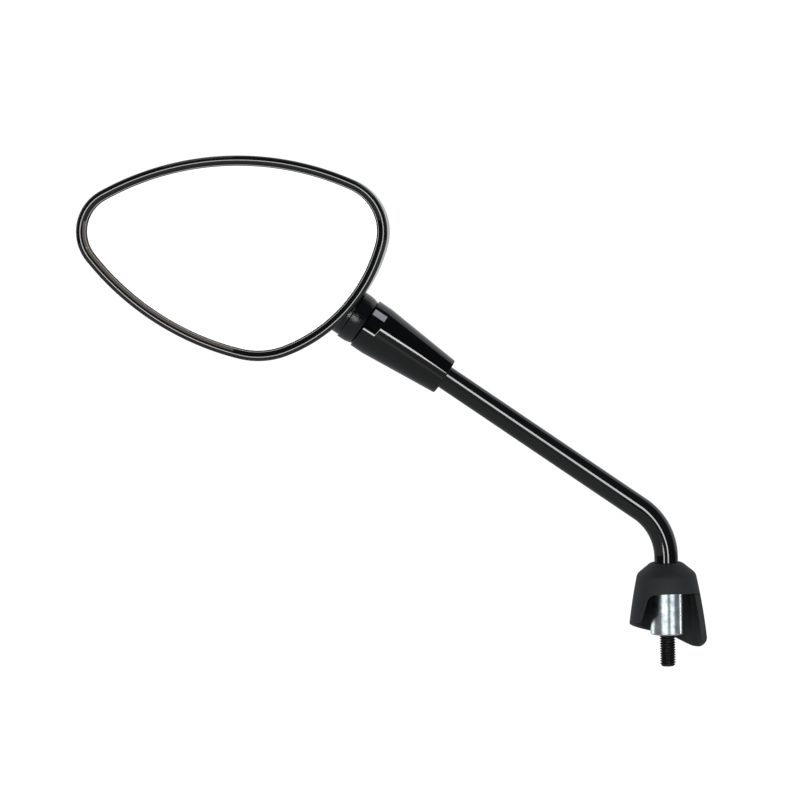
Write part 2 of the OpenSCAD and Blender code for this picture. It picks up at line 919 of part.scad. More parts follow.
module backing_plate() {
    color("#232425")
    in_head()
    difference() {
        ribbed_plate();
        // Room for the neck
        rotate([0, -bend_angle, 0]) turned() neck_profile(2 * cover_gap, neck_len + 1);
        // Room for the housing
        rotate([0, -bend_angle, 0]) turned() housing_profile(cover_gap);
    }
}

module glass_seal() {
    color("#141414")
    in_head()
    difference() {
        slab(skirt_out + running_gap, lip_back + running_gap, lip_back + seal_deep);
        slab(glass_edge_in - running_gap, -40, 10);
    }
}

module bezel() {
    front = -shell_front - bezel_h;
    skirt_in = skirt_out - skirt_t;
    profile = [
        [0, front + 1.9], [0, -shell_front], [skirt_in, -shell_front],
        [skirt_in, -shell_front + skirt_len], [skirt_out, -shell_front + skirt_len],
        [skirt_out, lip_back], [bezel_w, lip_back - lip_t], [bezel_w - 0.25, lip_back - 2 * lip_t],
        [bead_w + 0.3, lip_back - 2 * lip_t - 0.4], [bead_w, front + 0.8], [bead_w - 0.5, front + 0.2],
        [bead_w * 0.6, front], [bead_w * 0.35, front + 0.15], [0.35, front + 0.9]
    ];
    color("#0b0b0c")
    in_head()
    loft([for (p = profile) [for (q = outline(p[0])) [q[0], p[1], q[1]]]], loop = true);
}

stud();
boss();
stem();
ball_stud();
lock_washer();
lock_nut();
base_cap();
sleeve();
grip_ring();
ball_seat_lower();
ball_seat_upper();
pressure_ring();
disc_spring();
joint_housing();
retaining_ring();
neck_cover();
bracket_screws();
shell();
backing_plate();
glass_pad();
glass();
glass_seal();
bezel();
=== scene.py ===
# A motorcycle mirror, set up for a studio picture around its fixed frame. All sizes are metres.
import json
import math
import bmesh
import bpy
from mathutils import Matrix, Vector


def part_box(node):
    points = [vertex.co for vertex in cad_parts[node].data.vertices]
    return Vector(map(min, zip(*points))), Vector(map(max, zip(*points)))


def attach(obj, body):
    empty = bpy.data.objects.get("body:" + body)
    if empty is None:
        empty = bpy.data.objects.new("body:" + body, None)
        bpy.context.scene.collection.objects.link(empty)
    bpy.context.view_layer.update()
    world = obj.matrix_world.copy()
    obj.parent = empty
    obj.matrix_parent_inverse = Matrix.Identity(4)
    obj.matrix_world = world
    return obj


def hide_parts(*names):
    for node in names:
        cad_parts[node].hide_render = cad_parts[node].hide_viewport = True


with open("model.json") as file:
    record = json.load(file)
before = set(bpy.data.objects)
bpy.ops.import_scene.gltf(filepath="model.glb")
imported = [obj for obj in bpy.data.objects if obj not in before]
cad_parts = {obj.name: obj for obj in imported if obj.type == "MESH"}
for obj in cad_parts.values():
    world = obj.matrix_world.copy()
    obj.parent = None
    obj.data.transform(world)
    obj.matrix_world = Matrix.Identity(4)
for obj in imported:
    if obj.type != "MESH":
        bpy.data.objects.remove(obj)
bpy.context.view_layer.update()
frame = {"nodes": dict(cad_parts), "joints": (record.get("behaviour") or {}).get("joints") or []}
nodes = frame["nodes"]
joints = {joint["name"]: joint for joint in frame["joints"]}
MM = 0.001


# Studio: a pale floor that runs out to a white background, dark air above it, and two upright
# strips of light left and right of the camera. The floor and a wall behind it glow for reflected
# rays only: on the floor this glow is painted light within a disc round the part and behind it,
# and painted shade beyond that, and the wall glows evenly. A piece that needs a highlight of its
# own has its panels in its own section, which reach that piece alone.
camera_distance = 2.0
camera_height = math.radians(5)
camera_roll = math.radians(1.3)
picture_centre = Vector((-0.1317, 0, 0.1209))
picture_width = 0.4
floor_level = -0.36
# Painted light on the floor as the gloss parts see it: the radius of its lit disc, then the glow
# levels of the painted shade and painted light.
painted_lit_floor_radius = 2.4
stage_radius = 30
wall_back = 2.6
wall_height = 8
painted_floor_shade = 0.03
painted_floor_light = 0.42
wall_bright = 0.45
paper_white = 1.05
painted_glow_tint = (0.94, 0.97, 1, 1)
floor_fade = 1.02
wall_skin = 0.01

camera = bpy.data.objects.new("camera", bpy.data.cameras.new("camera"))
bpy.context.scene.collection.objects.link(camera)
bpy.context.scene.camera = camera
camera.data.lens = camera.data.sensor_width * camera_distance / picture_width
camera_back = Vector((0, -math.cos(camera_height), math.sin(camera_height)))
camera.location = picture_centre + camera_distance * camera_back
camera.rotation_euler = (
    camera_back.to_track_quat("Z", "Y") @ Matrix.Rotation(-camera_roll, 3, "Z").to_quaternion()
).to_euler()
bpy.context.scene.view_settings.view_transform = "Standard"


def link_nodes(tree, kind, inputs=(), **settings):
    """Adds a node to a tree and feeds its inputs, by name or place, from values or sockets."""
    node = tree.nodes.new(kind)
    for key, value in settings.items():
        setattr(node, key, value)
    for key, value in dict(inputs).items():
        if isinstance(value, bpy.types.NodeSocket):
            tree.links.new(value, node.inputs[key])
        else:
            node.inputs[key].default_value = value
    return node


def soft_air(reflected, seen):
    """World that gloss parts see as a dark studio, and the camera as a white background."""
    world = bpy.data.worlds.new("studio_air")
    world.use_nodes = True
    tree = world.node_tree
    tree.nodes.clear()
    out = tree.nodes.new("ShaderNodeOutputWorld")
    path = tree.nodes.new("ShaderNodeLightPath")
    dim = link_nodes(tree, "ShaderNodeBackground", {0: (*reflected, 1), 1: 1})
    white = link_nodes(tree, "ShaderNodeBackground", {0: (1, 1, 1, 1), 1: seen})
    mix = link_nodes(
        tree,
        "ShaderNodeMixShader",
        {0: path.outputs["Is Camera Ray"], 1: dim.outputs[0], 2: white.outputs[0]},
    )
    tree.links.new(mix.outputs[0], out.inputs["Surface"])
    return world


bpy.context.scene.world = soft_air(reflected=(0.055, 0.06, 0.065), seen=paper_white)


def lit_only(light, pieces, wanted="INCLUDE"):
    """Makes a light reach only the given pieces, or with EXCLUDE all but them."""
    group = bpy.data.collections.new(light.name + "_reaches")
    light.light_linking.receiver_collection = group
    for piece in pieces:
        group.objects.link(piece)
        group.collection_objects[-1].light_linking.link_state = wanted


def panel(name, place, size, brightness, lean=0.0, aim=None):
    """Flat light at a place, facing the part or aim, turned by lean in its own plane."""
    data = bpy.data.lights.new(name, "AREA")
    data.shape = "RECTANGLE"
    data.size, data.size_y = size
    data.energy = brightness * size[0] * size[1] * math.pi
    light = bpy.data.objects.new(name, data)
    bpy.context.scene.collection.objects.link(light)
    light.location = place
    back = Vector(place) - aim if aim else Vector((0, -1, 0))
    turn = back.to_track_quat("Z", "Y").to_matrix() @ Matrix.Rotation(math.radians(lean), 3, "Z")
    light.rotation_euler = turn.to_euler()
    light.visible_camera = False
    return light


ball = Vector(joints["head_swing"]["pos_m"])
front_lights = -1.25
strip_right = panel("strip_right", (0.372, front_lights, 0.21), (0.15, 0.88), 15)
strip_left = panel("strip_left", (-0.50, front_lights, 0.06), (0.17, 0.64), 15)


def pale_stage():
    """Round floor far below the part and a wall far behind it, which the camera sees as white.
    Reflected rays see a painted glow instead: painted light on the floor within a disc round the
    part and behind it, painted shade on the floor beyond, and an even glow on the wall.
    """
    material = bpy.data.materials.new("pale_stage")
    material.use_nodes = True
    tree = material.node_tree
    tree.nodes.clear()
    out = tree.nodes.new("ShaderNodeOutputMaterial")
    path = tree.nodes.new("ShaderNodeLightPath")
    place = tree.nodes.new("ShaderNodeTexCoord")
    parts = link_nodes(tree, "ShaderNodeSeparateXYZ", {0: place.outputs["Object"]})

    def worked(operation, a, b, c=0.5):
        return link_nodes(tree, "ShaderNodeMath", {0: a, 1: b, 2: c}, operation=operation).outputs[0]

    # Painted light on the floor: full glow within the disc round the part and behind it, painted
    # shade farther out.
    reach = link_nodes(
        tree,
        "ShaderNodeVectorMath",
        {0: place.outputs["Object"]},
        operation="LENGTH",
    )
    near = link_nodes(
        tree,
        "ShaderNodeMapRange",
        {0: reach.outputs["Value"], 1: painted_lit_floor_radius * floor_fade, 2: painted_lit_floor_radius, 3: 0, 4: 1},
    )
    behind = link_nodes(tree, "ShaderNodeMapRange", {0: parts.outputs[1], 1: 0, 2: 1, 3: 0, 4: 1})
    lit = worked("MAXIMUM", near.outputs[0], behind.outputs[0])
    floor_glow = link_nodes(tree, "ShaderNodeMapRange", {0: lit, 3: painted_floor_shade, 4: painted_floor_light})
    wall = worked("GREATER_THAN", parts.outputs[1], wall_back - wall_skin)
    upright = worked("GREATER_THAN", parts.outputs[2], wall_skin)
    on_wall = worked("MULTIPLY", wall, upright)
    glow = worked("MULTIPLY_ADD", on_wall, wall_bright, floor_glow.outputs[0])
    pale = link_nodes(tree, "ShaderNodeEmission", {0: painted_glow_tint, 1: glow})
    white = link_nodes(tree, "ShaderNodeEmission", {0: (1, 1, 1, 1), 1: paper_white})
    mix = link_nodes(
        tree,
        "ShaderNodeMixShader",
        {0: path.outputs["Is Camera Ray"], 1: pale.outputs[0], 2: white.outputs[0]},
    )
    tree.links.new(mix.outputs[0], out.inputs["Surface"])
    mesh = bpy.data.meshes.new("stage")
    shape = bmesh.new()
    bmesh.ops.create_circle(shape, cap_ends=True, segments=96, radius=stage_radius)
    corners = [
        (-stage_radius, wall_back, 0),
        (stage_radius, wall_back, 0),
        (stage_radius, wall_back, wall_height),
        (-stage_radius, wall_back, wall_height),
    ]
    shape.faces.new([shape.verts.new(corner) for corner in corners])
    shape.to_mesh(mesh)
    shape.free()
    mesh.materials.append(material)
    stage = bpy.data.objects.new("stage", mesh)
    bpy.context.scene.collection.objects.link(stage)
    stage.location = (0, 0, floor_level)


pale_stage()


# Stud: an M8 steel stud with a rolled thread and a black finish, screwed into the boss from
# below. Its thread is one ridge that winds round it at a pitch of 1.25 mm.
stud_low, stud_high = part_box("stud")
stud_r = stud_high.x
stud_chamfer = 1.0 * MM
thread_pitch = 1.25 * MM
thread_depth = 0.78 * MM
thread_crest_share = 0.08
thread_root_share = 0.14
thread_top = 3 * MM
thread_rows = 380
thread_around = 65
weld = 1e-7


def grain_group():
    """Shader group that breaks up a finish: a coarse mask, a fine mask and a surface height."""
    tree = bpy.data.node_groups.new("grain", "ShaderNodeTree")
    for name, low in (("Coarse Scale", 120), ("Fine Scale", 900), ("Contrast", 1)):
        socket = tree.interface.new_socket(name, in_out="INPUT", socket_type="NodeSocketFloat")
        socket.default_value = low
    for name in ("Coarse", "Fine", "Height"):
        tree.interface.new_socket(name, in_out="OUTPUT", socket_type="NodeSocketFloat")
    given = tree.nodes.new("NodeGroupInput")
    given_out = tree.nodes.new("NodeGroupOutput")
    place = tree.nodes.new("ShaderNodeTexCoord")
    coarse = link_nodes(
        tree,
        "ShaderNodeTexNoise",
        {"Vector": place.outputs["Object"], "Scale": given.outputs["Coarse Scale"], "Detail": 3},
    )
    fine = link_nodes(
        tree,
        "ShaderNodeTexNoise",
        {"Vector": place.outputs["Object"], "Scale": given.outputs["Fine Scale"], "Detail": 4},
    )

    def stretched(source):
        centred = link_nodes(tree, "ShaderNodeMath", {0: source, 1: 0.5}, operation="SUBTRACT")
        scaled = link_nodes(
            tree,
            "ShaderNodeMath",
            {0: centred.outputs[0], 1: given.outputs["Contrast"], 2: 0.5},
            operation="MULTIPLY_ADD",
            use_clamp=True,
        )
        return scaled.outputs[0]

    coarse_mask = stretched(coarse.outputs[0])
    fine_mask = stretched(fine.outputs[0])
    both = link_nodes(tree, "ShaderNodeMath", {0: coarse_mask, 1: fine_mask}, operation="ADD")
    tree.links.new(coarse_mask, given_out.inputs["Coarse"])
    tree.links.new(fine_mask, given_out.inputs["Fine"])
    tree.links.new(both.outputs[0], given_out.inputs["Height"])
    return tree


grain = grain_group()


def finish(name, light, dark, rough, metallic=0.0, scales=(120, 900), contrast=2.0, bump=0.02,
           bump_depth=0.05 * MM, specular=0.5):
    """Material whose colour runs between two tones and whose roughness between two values."""
    material = bpy.data.materials.new(name)
    material.use_nodes = True
    tree = material.node_tree
    shader = tree.nodes["Principled BSDF"]
    speckle = link_nodes(tree, "ShaderNodeGroup", node_tree=grain)
    speckle.inputs["Coarse Scale"].default_value = scales[0]
    speckle.inputs["Fine Scale"].default_value = scales[1]
    speckle.inputs["Contrast"].default_value = contrast
    tone = link_nodes(
        tree,
        "ShaderNodeMix",
        {0: speckle.outputs["Coarse"], 6: (*dark, 1), 7: (*light, 1)},
        data_type="RGBA",
    )
    tree.links.new(tone.outputs[2], shader.inputs["Base Color"])
    rub = link_nodes(
        tree,
        "ShaderNodeMapRange",
        {0: speckle.outputs["Fine"], 3: rough[0], 4: rough[1]},
    )
    tree.links.new(rub.outputs[0], shader.inputs["Roughness"])
    relief = link_nodes(
        tree,
        "ShaderNodeBump",
        {"Strength": bump, "Distance": bump_depth, "Height": speckle.outputs["Height"]},
    )
    tree.links.new(relief.outputs[0], shader.inputs["Normal"])
    shader.inputs["Metallic"].default_value = metallic
    shader.inputs["Specular IOR Level"].default_value = specular
    return material


def new_geometry_tree(name, sockets):
    """Geometry tree with a geometry in and out and the given named size inputs."""
    tree = bpy.data.node_groups.new(name, "GeometryNodeTree")
    tree.interface.new_socket("Geometry", in_out="INPUT", socket_type="NodeSocketGeometry")
    for label, kind in sockets:
        tree.interface.new_socket(label, in_out="INPUT", socket_type=kind)
    tree.interface.new_socket("Geometry", in_out="OUTPUT", socket_type="NodeSocketGeometry")
    return tree


def close_tree(tree, geometry, material):
    """Ends a geometry tree: smooth shading, real geometry and its material."""
    smooth = link_nodes(tree, "GeometryNodeSetShadeSmooth", {"Geometry": geometry})
    real = link_nodes(tree, "GeometryNodeRealizeInstances", {"Geometry": smooth.outputs[0]})
    dressed = link_nodes(
        tree,
        "GeometryNodeSetMaterial",
        {"Geometry": real.outputs[0], "Material": material},
    )
    out = tree.nodes.new("NodeGroupOutput")
    tree.links.new(dressed.outputs[0], out.inputs["Geometry"])


def grown(name, base, tree, values, fill=False):
    """Runs a geometry tree on a base object and keeps the result as a plain mesh object."""
    bpy.context.scene.collection.objects.link(base)
    modifier = base.modifiers.new("grow", "NODES")
    modifier.node_group = tree
    for item in tree.interface.items_tree:
        if item.item_type == "SOCKET" and item.in_out == "INPUT" and item.name in values:
            modifier[item.identifier] = values[item.name]
    bpy.context.view_layer.update()
    evaluated = base.evaluated_get(bpy.context.evaluated_depsgraph_get())
    mesh = bpy.data.meshes.new_from_object(evaluated)
    mesh.name = name
    shape = bmesh.new()
    shape.from_mesh(mesh)
    bmesh.ops.remove_doubles(shape, verts=shape.verts, dist=weld)
    if fill:
        bmesh.ops.holes_fill(shape, edges=shape.edges, sides=0)
    bmesh.ops.recalc_face_normals(shape, faces=shape.faces)
    shape.to_mesh(mesh)
    shape.free()
    bpy.data.objects.remove(base)
    piece = bpy.data.objects.new(name, mesh)
    bpy.context.scene.collection.objects.link(piece)
    return piece


def thread_tree(material):
    """A tube whose radius follows a rolled thread, with a cone cut at its lower end."""
    tree = new_geometry_tree("rolled_thread", [
        ("Radius", "NodeSocketFloat"),
        ("Low", "NodeSocketFloat"),
        ("High", "NodeSocketFloat"),
        ("Pitch", "NodeSocketFloat"),
        ("Depth", "NodeSocketFloat"),
        ("Chamfer", "NodeSocketFloat"),
        ("Rows", "NodeSocketInt"),
        ("Around", "NodeSocketInt"),
    ])
    given = tree.nodes.new("NodeGroupInput").outputs
    grid = link_nodes(
        tree,
        "GeometryNodeMeshGrid",
        {"Size X": 1, "Size Y": 1, "Vertices X": given["Rows"], "Vertices Y": given["Around"]},
    )
    place = tree.nodes.new("GeometryNodeInputPosition")
    parts = link_nodes(tree, "ShaderNodeSeparateXYZ", {0: place.outputs[0]})

    def sum_of(operation, a, b=0.0, c=0.0):
        return link_nodes(tree, "ShaderNodeMath", {0: a, 1: b, 2: c}, operation=operation).outputs[0]

    along = sum_of("ADD", parts.outputs[0], 0.5)
    turn = sum_of("ADD", parts.outputs[1], 0.5)
    length = sum_of("SUBTRACT", given["High"], given["Low"])
    height = sum_of("MULTIPLY_ADD", along, length, given["Low"])
    phase = sum_of("SUBTRACT", sum_of("DIVIDE", height, given["Pitch"]), turn)
    slope = sum_of("MULTIPLY", sum_of("PINGPONG", phase, 0.5), 2.0)
    ridge = link_nodes(
        tree,
        "ShaderNodeMapRange",
        {0: slope, 1: thread_root_share, 2: 1 - thread_crest_share, 3: 0.0, 4: 1.0},
    ).outputs[0]
    root = sum_of("SUBTRACT", given["Radius"], given["Depth"])
    threaded = sum_of("MULTIPLY_ADD", ridge, given["Depth"], root)
    end_radius = sum_of("SUBTRACT", given["Radius"], given["Chamfer"])
    cone = sum_of("ADD", sum_of("SUBTRACT", height, given["Low"]), end_radius)
    radius = sum_of("MINIMUM", threaded, cone)
    angle = sum_of("MULTIPLY", turn, 2 * math.pi)
    spot = link_nodes(
        tree,
        "ShaderNodeCombineXYZ",
        {
            0: sum_of("MULTIPLY", radius, sum_of("COSINE", angle)),
            1: sum_of("MULTIPLY", radius, sum_of("SINE", angle)),
            2: height,
        },
    )
    wound = link_nodes(
        tree,
        "GeometryNodeSetPosition",
        {"Geometry": grid.outputs[0], "Position": spot.outputs[0]},
    )
    seamless = link_nodes(
        tree,
        "GeometryNodeMergeByDistance",
        {"Geometry": wound.outputs[0], "Distance": weld},
    )
    close_tree(tree, seamless.outputs[0], material)
    return tree


black_oxide = finish("black_oxide", (0.014, 0.014, 0.015), (0.006, 0.006, 0.0065), (0.22, 0.36),
                     metallic=0.2, scales=(700, 2500), bump=0.15)
stud_thread = grown(
    "stud_thread",
    bpy.data.objects.new("stud_start", bpy.data.meshes.new("stud_start")),
    thread_tree(black_oxide),
    {
        "Radius": stud_r,
        "Low": stud_low.z,
        "High": thread_top,
        "Pitch": thread_pitch,
        "Depth": thread_depth,
        "Chamfer": stud_chamfer,
        "Rows": thread_rows,
        "Around": thread_around,
    },
    fill=True,
)
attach(stud_thread, "arm")
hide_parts("stud")


# Boss: a round steel boss, turned and bright zinc plated, that the stud and the stem are fixed
# in. Its edges are broken by small chamfers and its skin has fine turning marks.
boss_low, boss_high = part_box("boss")
boss_r = boss_high.x
boss_edge = 0.6 * MM
true_edge = math.radians(28)
fillet_share = 0.45
hold_share = 0.08


def filleted(corners, steps=6, closed=False):
    """Outline through (x, z, radius) corners, each corner rounded and held by a close point."""
    outline = []
    count = len(corners)
    for i, (x, z, radius) in enumerate(corners):
        if radius == 0 or (not closed and i in (0, count - 1)):
            outline.append((x, z))
            continue
        corner = Vector((x, z))
        before = Vector(corners[i - 1][:2]) - corner
        after = Vector(corners[(i + 1) % count][:2]) - corner
        half = before.angle(after) / 2
        most = fillet_share * min(before.length, after.length)
        reach = min(radius / math.tan(half), most)
        radius = reach * math.tan(half)
        inwards = (before.normalized() + after.normalized()).normalized()
        middle = corner + inwards * (radius / math.sin(half))
        start = corner + before.normalized() * reach
        end = corner + after.normalized() * reach
        hold = hold_share * min(before.length, after.length, 4 * reach)
        outline.append(tuple(start + before.normalized() * hold))
        spoke_a, spoke_b = start - middle, end - middle
        sweep = spoke_a.angle(spoke_b)
        for k in range(steps + 1):
            t = k / steps
            spoke = spoke_a * math.sin((1 - t) * sweep) + spoke_b * math.sin(t * sweep)
            outline.append(tuple(middle + spoke / math.sin(sweep)))
        outline.append(tuple(end + after.normalized() * hold))
    return outline


def piece_from(name, shape, material):
    """Object made of a bmesh, smooth but for its true edges."""
    bmesh.ops.recalc_face_normals(shape, faces=shape.faces)
    mesh = bpy.data.meshes.new(name)
    shape.to_mesh(mesh)
    shape.free()
    mesh.set_sharp_from_angle(angle=true_edge)
    mesh.materials.append(material)
    piece = bpy.data.objects.new(name, mesh)
    bpy.context.scene.collection.objects.link(piece)
    return piece


def turned_piece(name, outline, place, material, around=160, closed=False):
    """Revolves an outline of (radius, height) points about Z and puts it in place."""
    shape = bmesh.new()
    rings = []
    for radius, height in outline:
        if radius < 1e-9:
            rings.append([shape.verts.new(place @ Vector((0, 0, height)))])
            continue
        ring = []
        for k in range(around):
            a = 2 * math.pi * k / around
            spot = Vector((radius * math.cos(a), radius * math.sin(a), height))
            ring.append(shape.verts.new(place @ spot))
        rings.append(ring)
    pairs = list(zip(rings, rings[1:]))
    if closed:
        pairs.append((rings[-1], rings[0]))
    for low, high in pairs:
        for k in range(around):
            nxt = (k + 1) % around
            corners = [
                low[k % len(low)],
                low[nxt % len(low)],
                high[nxt % len(high)],
                high[k % len(high)],
            ]
            face = shape.faces.new(list(dict.fromkeys(corners)))
            face.smooth = True
    return piece_from(name, shape, material)


def turned_zinc():
    """Bright zinc: lighter and darker patches, with turning marks that run round the boss."""
    material = finish("bright_zinc", (0.70, 0.75, 0.77), (0.34, 0.40, 0.43), (0.22, 0.28),
                      metallic=1.0, scales=(300, 1100), contrast=2.0, bump=0.012)
    tree = material.node_tree
    shader = tree.nodes["Principled BSDF"]
    place = tree.nodes.new("ShaderNodeTexCoord")
    rings = link_nodes(
        tree,
        "ShaderNodeTexWave",
        {"Vector": place.outputs["Object"], "Scale": 1400, "Distortion": 0.6, "Detail": 1},
        wave_type="BANDS",
        bands_direction="Z",
    )
    marks = link_nodes(
        tree,
        "ShaderNodeBump",
        {"Strength": 0.10, "Distance": 0.01 * MM, "Height": rings.outputs[1]},
    )
    tree.links.new(shader.inputs["Normal"].links[0].from_socket, marks.inputs["Normal"])
    tree.links.new(marks.outputs[0], shader.inputs["Normal"])
    return material


boss_piece = turned_piece(
    "plated_boss",
    filleted([
        (0, boss_low.z, 0),
        (boss_r - boss_edge, boss_low.z, 0.15 * MM),
        (boss_r, boss_low.z + boss_edge, 0.25 * MM),
        (boss_r, boss_high.z - boss_edge, 0.25 * MM),
        (boss_r - boss_edge, boss_high.z, 0.15 * MM),
        (0, boss_high.z, 0),
    ]),
    Matrix.Identity(4),
    turned_zinc(),
)
boss_lights = [
    panel("boss_left", (-0.50, front_lights, -0.10), (1.0, 0.8), 2.1),
    panel("boss_right", (0.90, front_lights, -0.10), (0.9, 0.8), 1.9),
    panel("boss_edge_light", (1.25, 0.22, -0.13), (0.10, 0.7), 6, aim=Vector()),
    panel("boss_low_light", (-1.0, 0.62, -0.30), (0.7, 0.5), 1.5, aim=Vector()),
]
for light in boss_lights:
    lit_only(light, [boss_piece])
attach(boss_piece, "arm")
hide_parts("boss")


# Stem: a 12 mm tube bent once, powder coated gloss black. It is fixed in the boss below, and the
# ball's shank and lock nut hold the joint in its other end.
arm_way = -Vector(joints["sleeve_slide"]["axis"])
stem_r = 6 * MM
bend_r = 30 * MM
arm_lean = math.acos(arm_way.z)
bend_corner = ball - arm_way * (ball.x / arm_way.x)
stem_end = 162 * MM
stem_foot_z = 15 * MM
bend_steps = 72
stem_around = 128


def tube_tree(material):
    """A tube along a line of straight runs, with its corners bent to a radius."""
    tree = new_geometry_tree("bent_tube", [
        ("Radius", "NodeSocketFloat"),
        ("Bend Radius", "NodeSocketFloat"),
        ("Bend Steps", "NodeSocketInt"),
        ("Around", "NodeSocketInt"),
    ])
    given = tree.nodes.new("NodeGroupInput").outputs
    bent = link_nodes(
        tree,
        "GeometryNodeFilletCurve",
        {"Curve": given["Geometry"], "Radius": given["Bend Radius"], "Count": given["Bend Steps"]},
        mode="POLY",
    )
    ring = link_nodes(
        tree,
        "GeometryNodeCurvePrimitiveCircle",
        {"Resolution": given["Around"], "Radius": given["Radius"]},
    )
    tube = link_nodes(
        tree,
        "GeometryNodeCurveToMesh",
        {"Curve": bent.outputs[0], "Profile Curve": ring.outputs[0], "Fill Caps": True},
    )
    close_tree(tree, tube.outputs[0], material)
    return tree


def line_object(name, points):
    """Curve object of one straight-run spline through the given points."""
    data = bpy.data.curves.new(name, "CURVE")
    data.dimensions = "3D"
    spline = data.splines.new("POLY")
    spline.points.add(len(points) - 1)
    for spot, point in zip(spline.points, points):
        spot.co = (*point, 1)
    return bpy.data.objects.new(name, data)


powder_black = finish("powder_coat_black", (0.0045, 0.0045, 0.0048), (0.0025, 0.0025, 0.0027),
                      (0.035, 0.06), scales=(60, 420), contrast=1.6, bump=0)
stem_piece = grown(
    "bent_stem",
    line_object("stem_line", [
        Vector((0, 0, stem_foot_z)),
        bend_corner,
        bend_corner + arm_way * stem_end,
    ]),
    tube_tree(powder_black),
    {"Radius": stem_r, "Bend Radius": bend_r, "Bend Steps": bend_steps, "Around": stem_around},
)
stem_lights = [
    panel("stem_right", (0.382, front_lights, 0.05), (0.26, 0.60), 13),
    panel("stem_left", (-0.52, front_lights, 0.06), (0.26, 0.64), 12),
    panel("stem_high", (0.382, front_lights, 0.66), (0.30, 0.62), 13),
    panel("stem_glow", (0.03, front_lights, 0.08), (0.2, 0.42), 0.30, lean=-35),
]
for light in stem_lights:
    lit_only(light, [stem_piece])
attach(stem_piece, "arm")
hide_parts("stem")


# Boot: one moulding of matte black rubber, pushed over the boss. A window in front and a slanted
# hem below make room for the clamp that it sits on, and every edge is softly rounded.
boot_voxel = 0.36 * MM
boot_smoothing = 10
boot_weld = 1e-6


def moulded_copy(name, node, voxel, smoothing, material):
    """Even-meshed copy of a node with its edges rounded over, as a soft moulding has them."""
    mesh = nodes[node].data.copy()
    mesh.name = name
    mesh.materials.clear()
    shape = bmesh.new()
    shape.from_mesh(mesh)
    bmesh.ops.remove_doubles(shape, verts=shape.verts, dist=boot_weld)
    shape.to_mesh(mesh)
    shape.free()
    start = bpy.data.objects.new(name + "_start", mesh)
    bpy.context.scene.collection.objects.link(start)
    even = start.modifiers.new("even", "REMESH")
    even.mode = "VOXEL"
    even.voxel_size = voxel
    even.use_smooth_shade = True
    rounded = start.modifiers.new("rounded", "SMOOTH")
    rounded.factor = 0.5
    rounded.iterations = smoothing
    bpy.context.view_layer.update()
    evaluated = start.evaluated_get(bpy.context.evaluated_depsgraph_get())
    result = bpy.data.meshes.new_from_object(evaluated)
    result.name = name
    bpy.data.objects.remove(start)
    result.materials.clear()
    result.materials.append(material)
    piece = bpy.data.objects.new(name, result)
    bpy.context.scene.collection.objects.link(piece)
    return piece


matte_rubber = finish("matte_rubber", (0.026, 0.028, 0.0285), (0.014, 0.0155, 0.016),
                      (0.62, 0.80), scales=(90, 1500), contrast=1.8, bump=0.35,
                      bump_depth=0.03 * MM, specular=0.45)
boot_piece = moulded_copy("rubber_boot", "base_cap", boot_voxel, boot_smoothing, matte_rubber)
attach(boot_piece, "boot")
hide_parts("base_cap")


# Sleeve: a moulded cone of gloss black plastic that hides the ball joint's nut. It slides on the
# stem, held by a rubber ring in its close bore, and its wide end has a straight band.
sleeve_len = 48 * MM
sleeve_small_r = 9.55 * MM
sleeve_big_r = 13.2013 * MM
sleeve_band = 7.4 * MM
sleeve_wall = 2 * MM
sleeve_bore = stem_r + 0.08 * MM
sleeve_bore_len = 8 * MM
sleeve_mouth_r = 13.3 * MM
sleeve_below = 5.2 * MM
sleeve_around = 192
mouth_steps = 12
arm_turn = arm_way.to_track_quat("Z", "Y").to_matrix().to_4x4()
arm_frame = Matrix.Translation(bend_corner) @ arm_turn
ball_at = (ball - bend_corner).length
sleeve_start = ball_at - sleeve_below - sleeve_len

gloss_black = finish("gloss_black", (0.0040, 0.0040, 0.0043), (0.0022, 0.0022, 0.0024),
                     (0.025, 0.05), scales=(40, 300), contrast=1.5, bump=0)


def sleeve_outline():
    """Closed section of the sleeve: outside, rim, ball-shaped mouth, inner cone and close bore."""
    kink = sleeve_len - sleeve_band
    wide = sleeve_big_r - sleeve_wall
    deep = sleeve_len + sleeve_below
    rim = math.sqrt(sleeve_mouth_r**2 - sleeve_below**2)
    outline = filleted([
        (sleeve_bore, 0, 0),
        (sleeve_small_r, 0, 0.55 * MM),
        (sleeve_big_r, kink, 6 * MM),
        (sleeve_big_r, sleeve_len, 0.4 * MM),
        (rim, sleeve_len, 0),
    ], steps=10)[:-1]
    low_angle = math.asin(rim / sleeve_mouth_r)
    high_angle = math.asin(wide / sleeve_mouth_r)
    for k in range(mouth_steps + 1):
        a = low_angle + (high_angle - low_angle) * k / mouth_steps
        outline.append((sleeve_mouth_r * math.sin(a), deep - sleeve_mouth_r * math.cos(a)))
    outline += [
        (wide, kink),
        (sleeve_small_r - sleeve_wall + 0.6 * MM, sleeve_bore_len + 1.5 * MM),
        (sleeve_bore, sleeve_bore_len),
    ]
    return outline


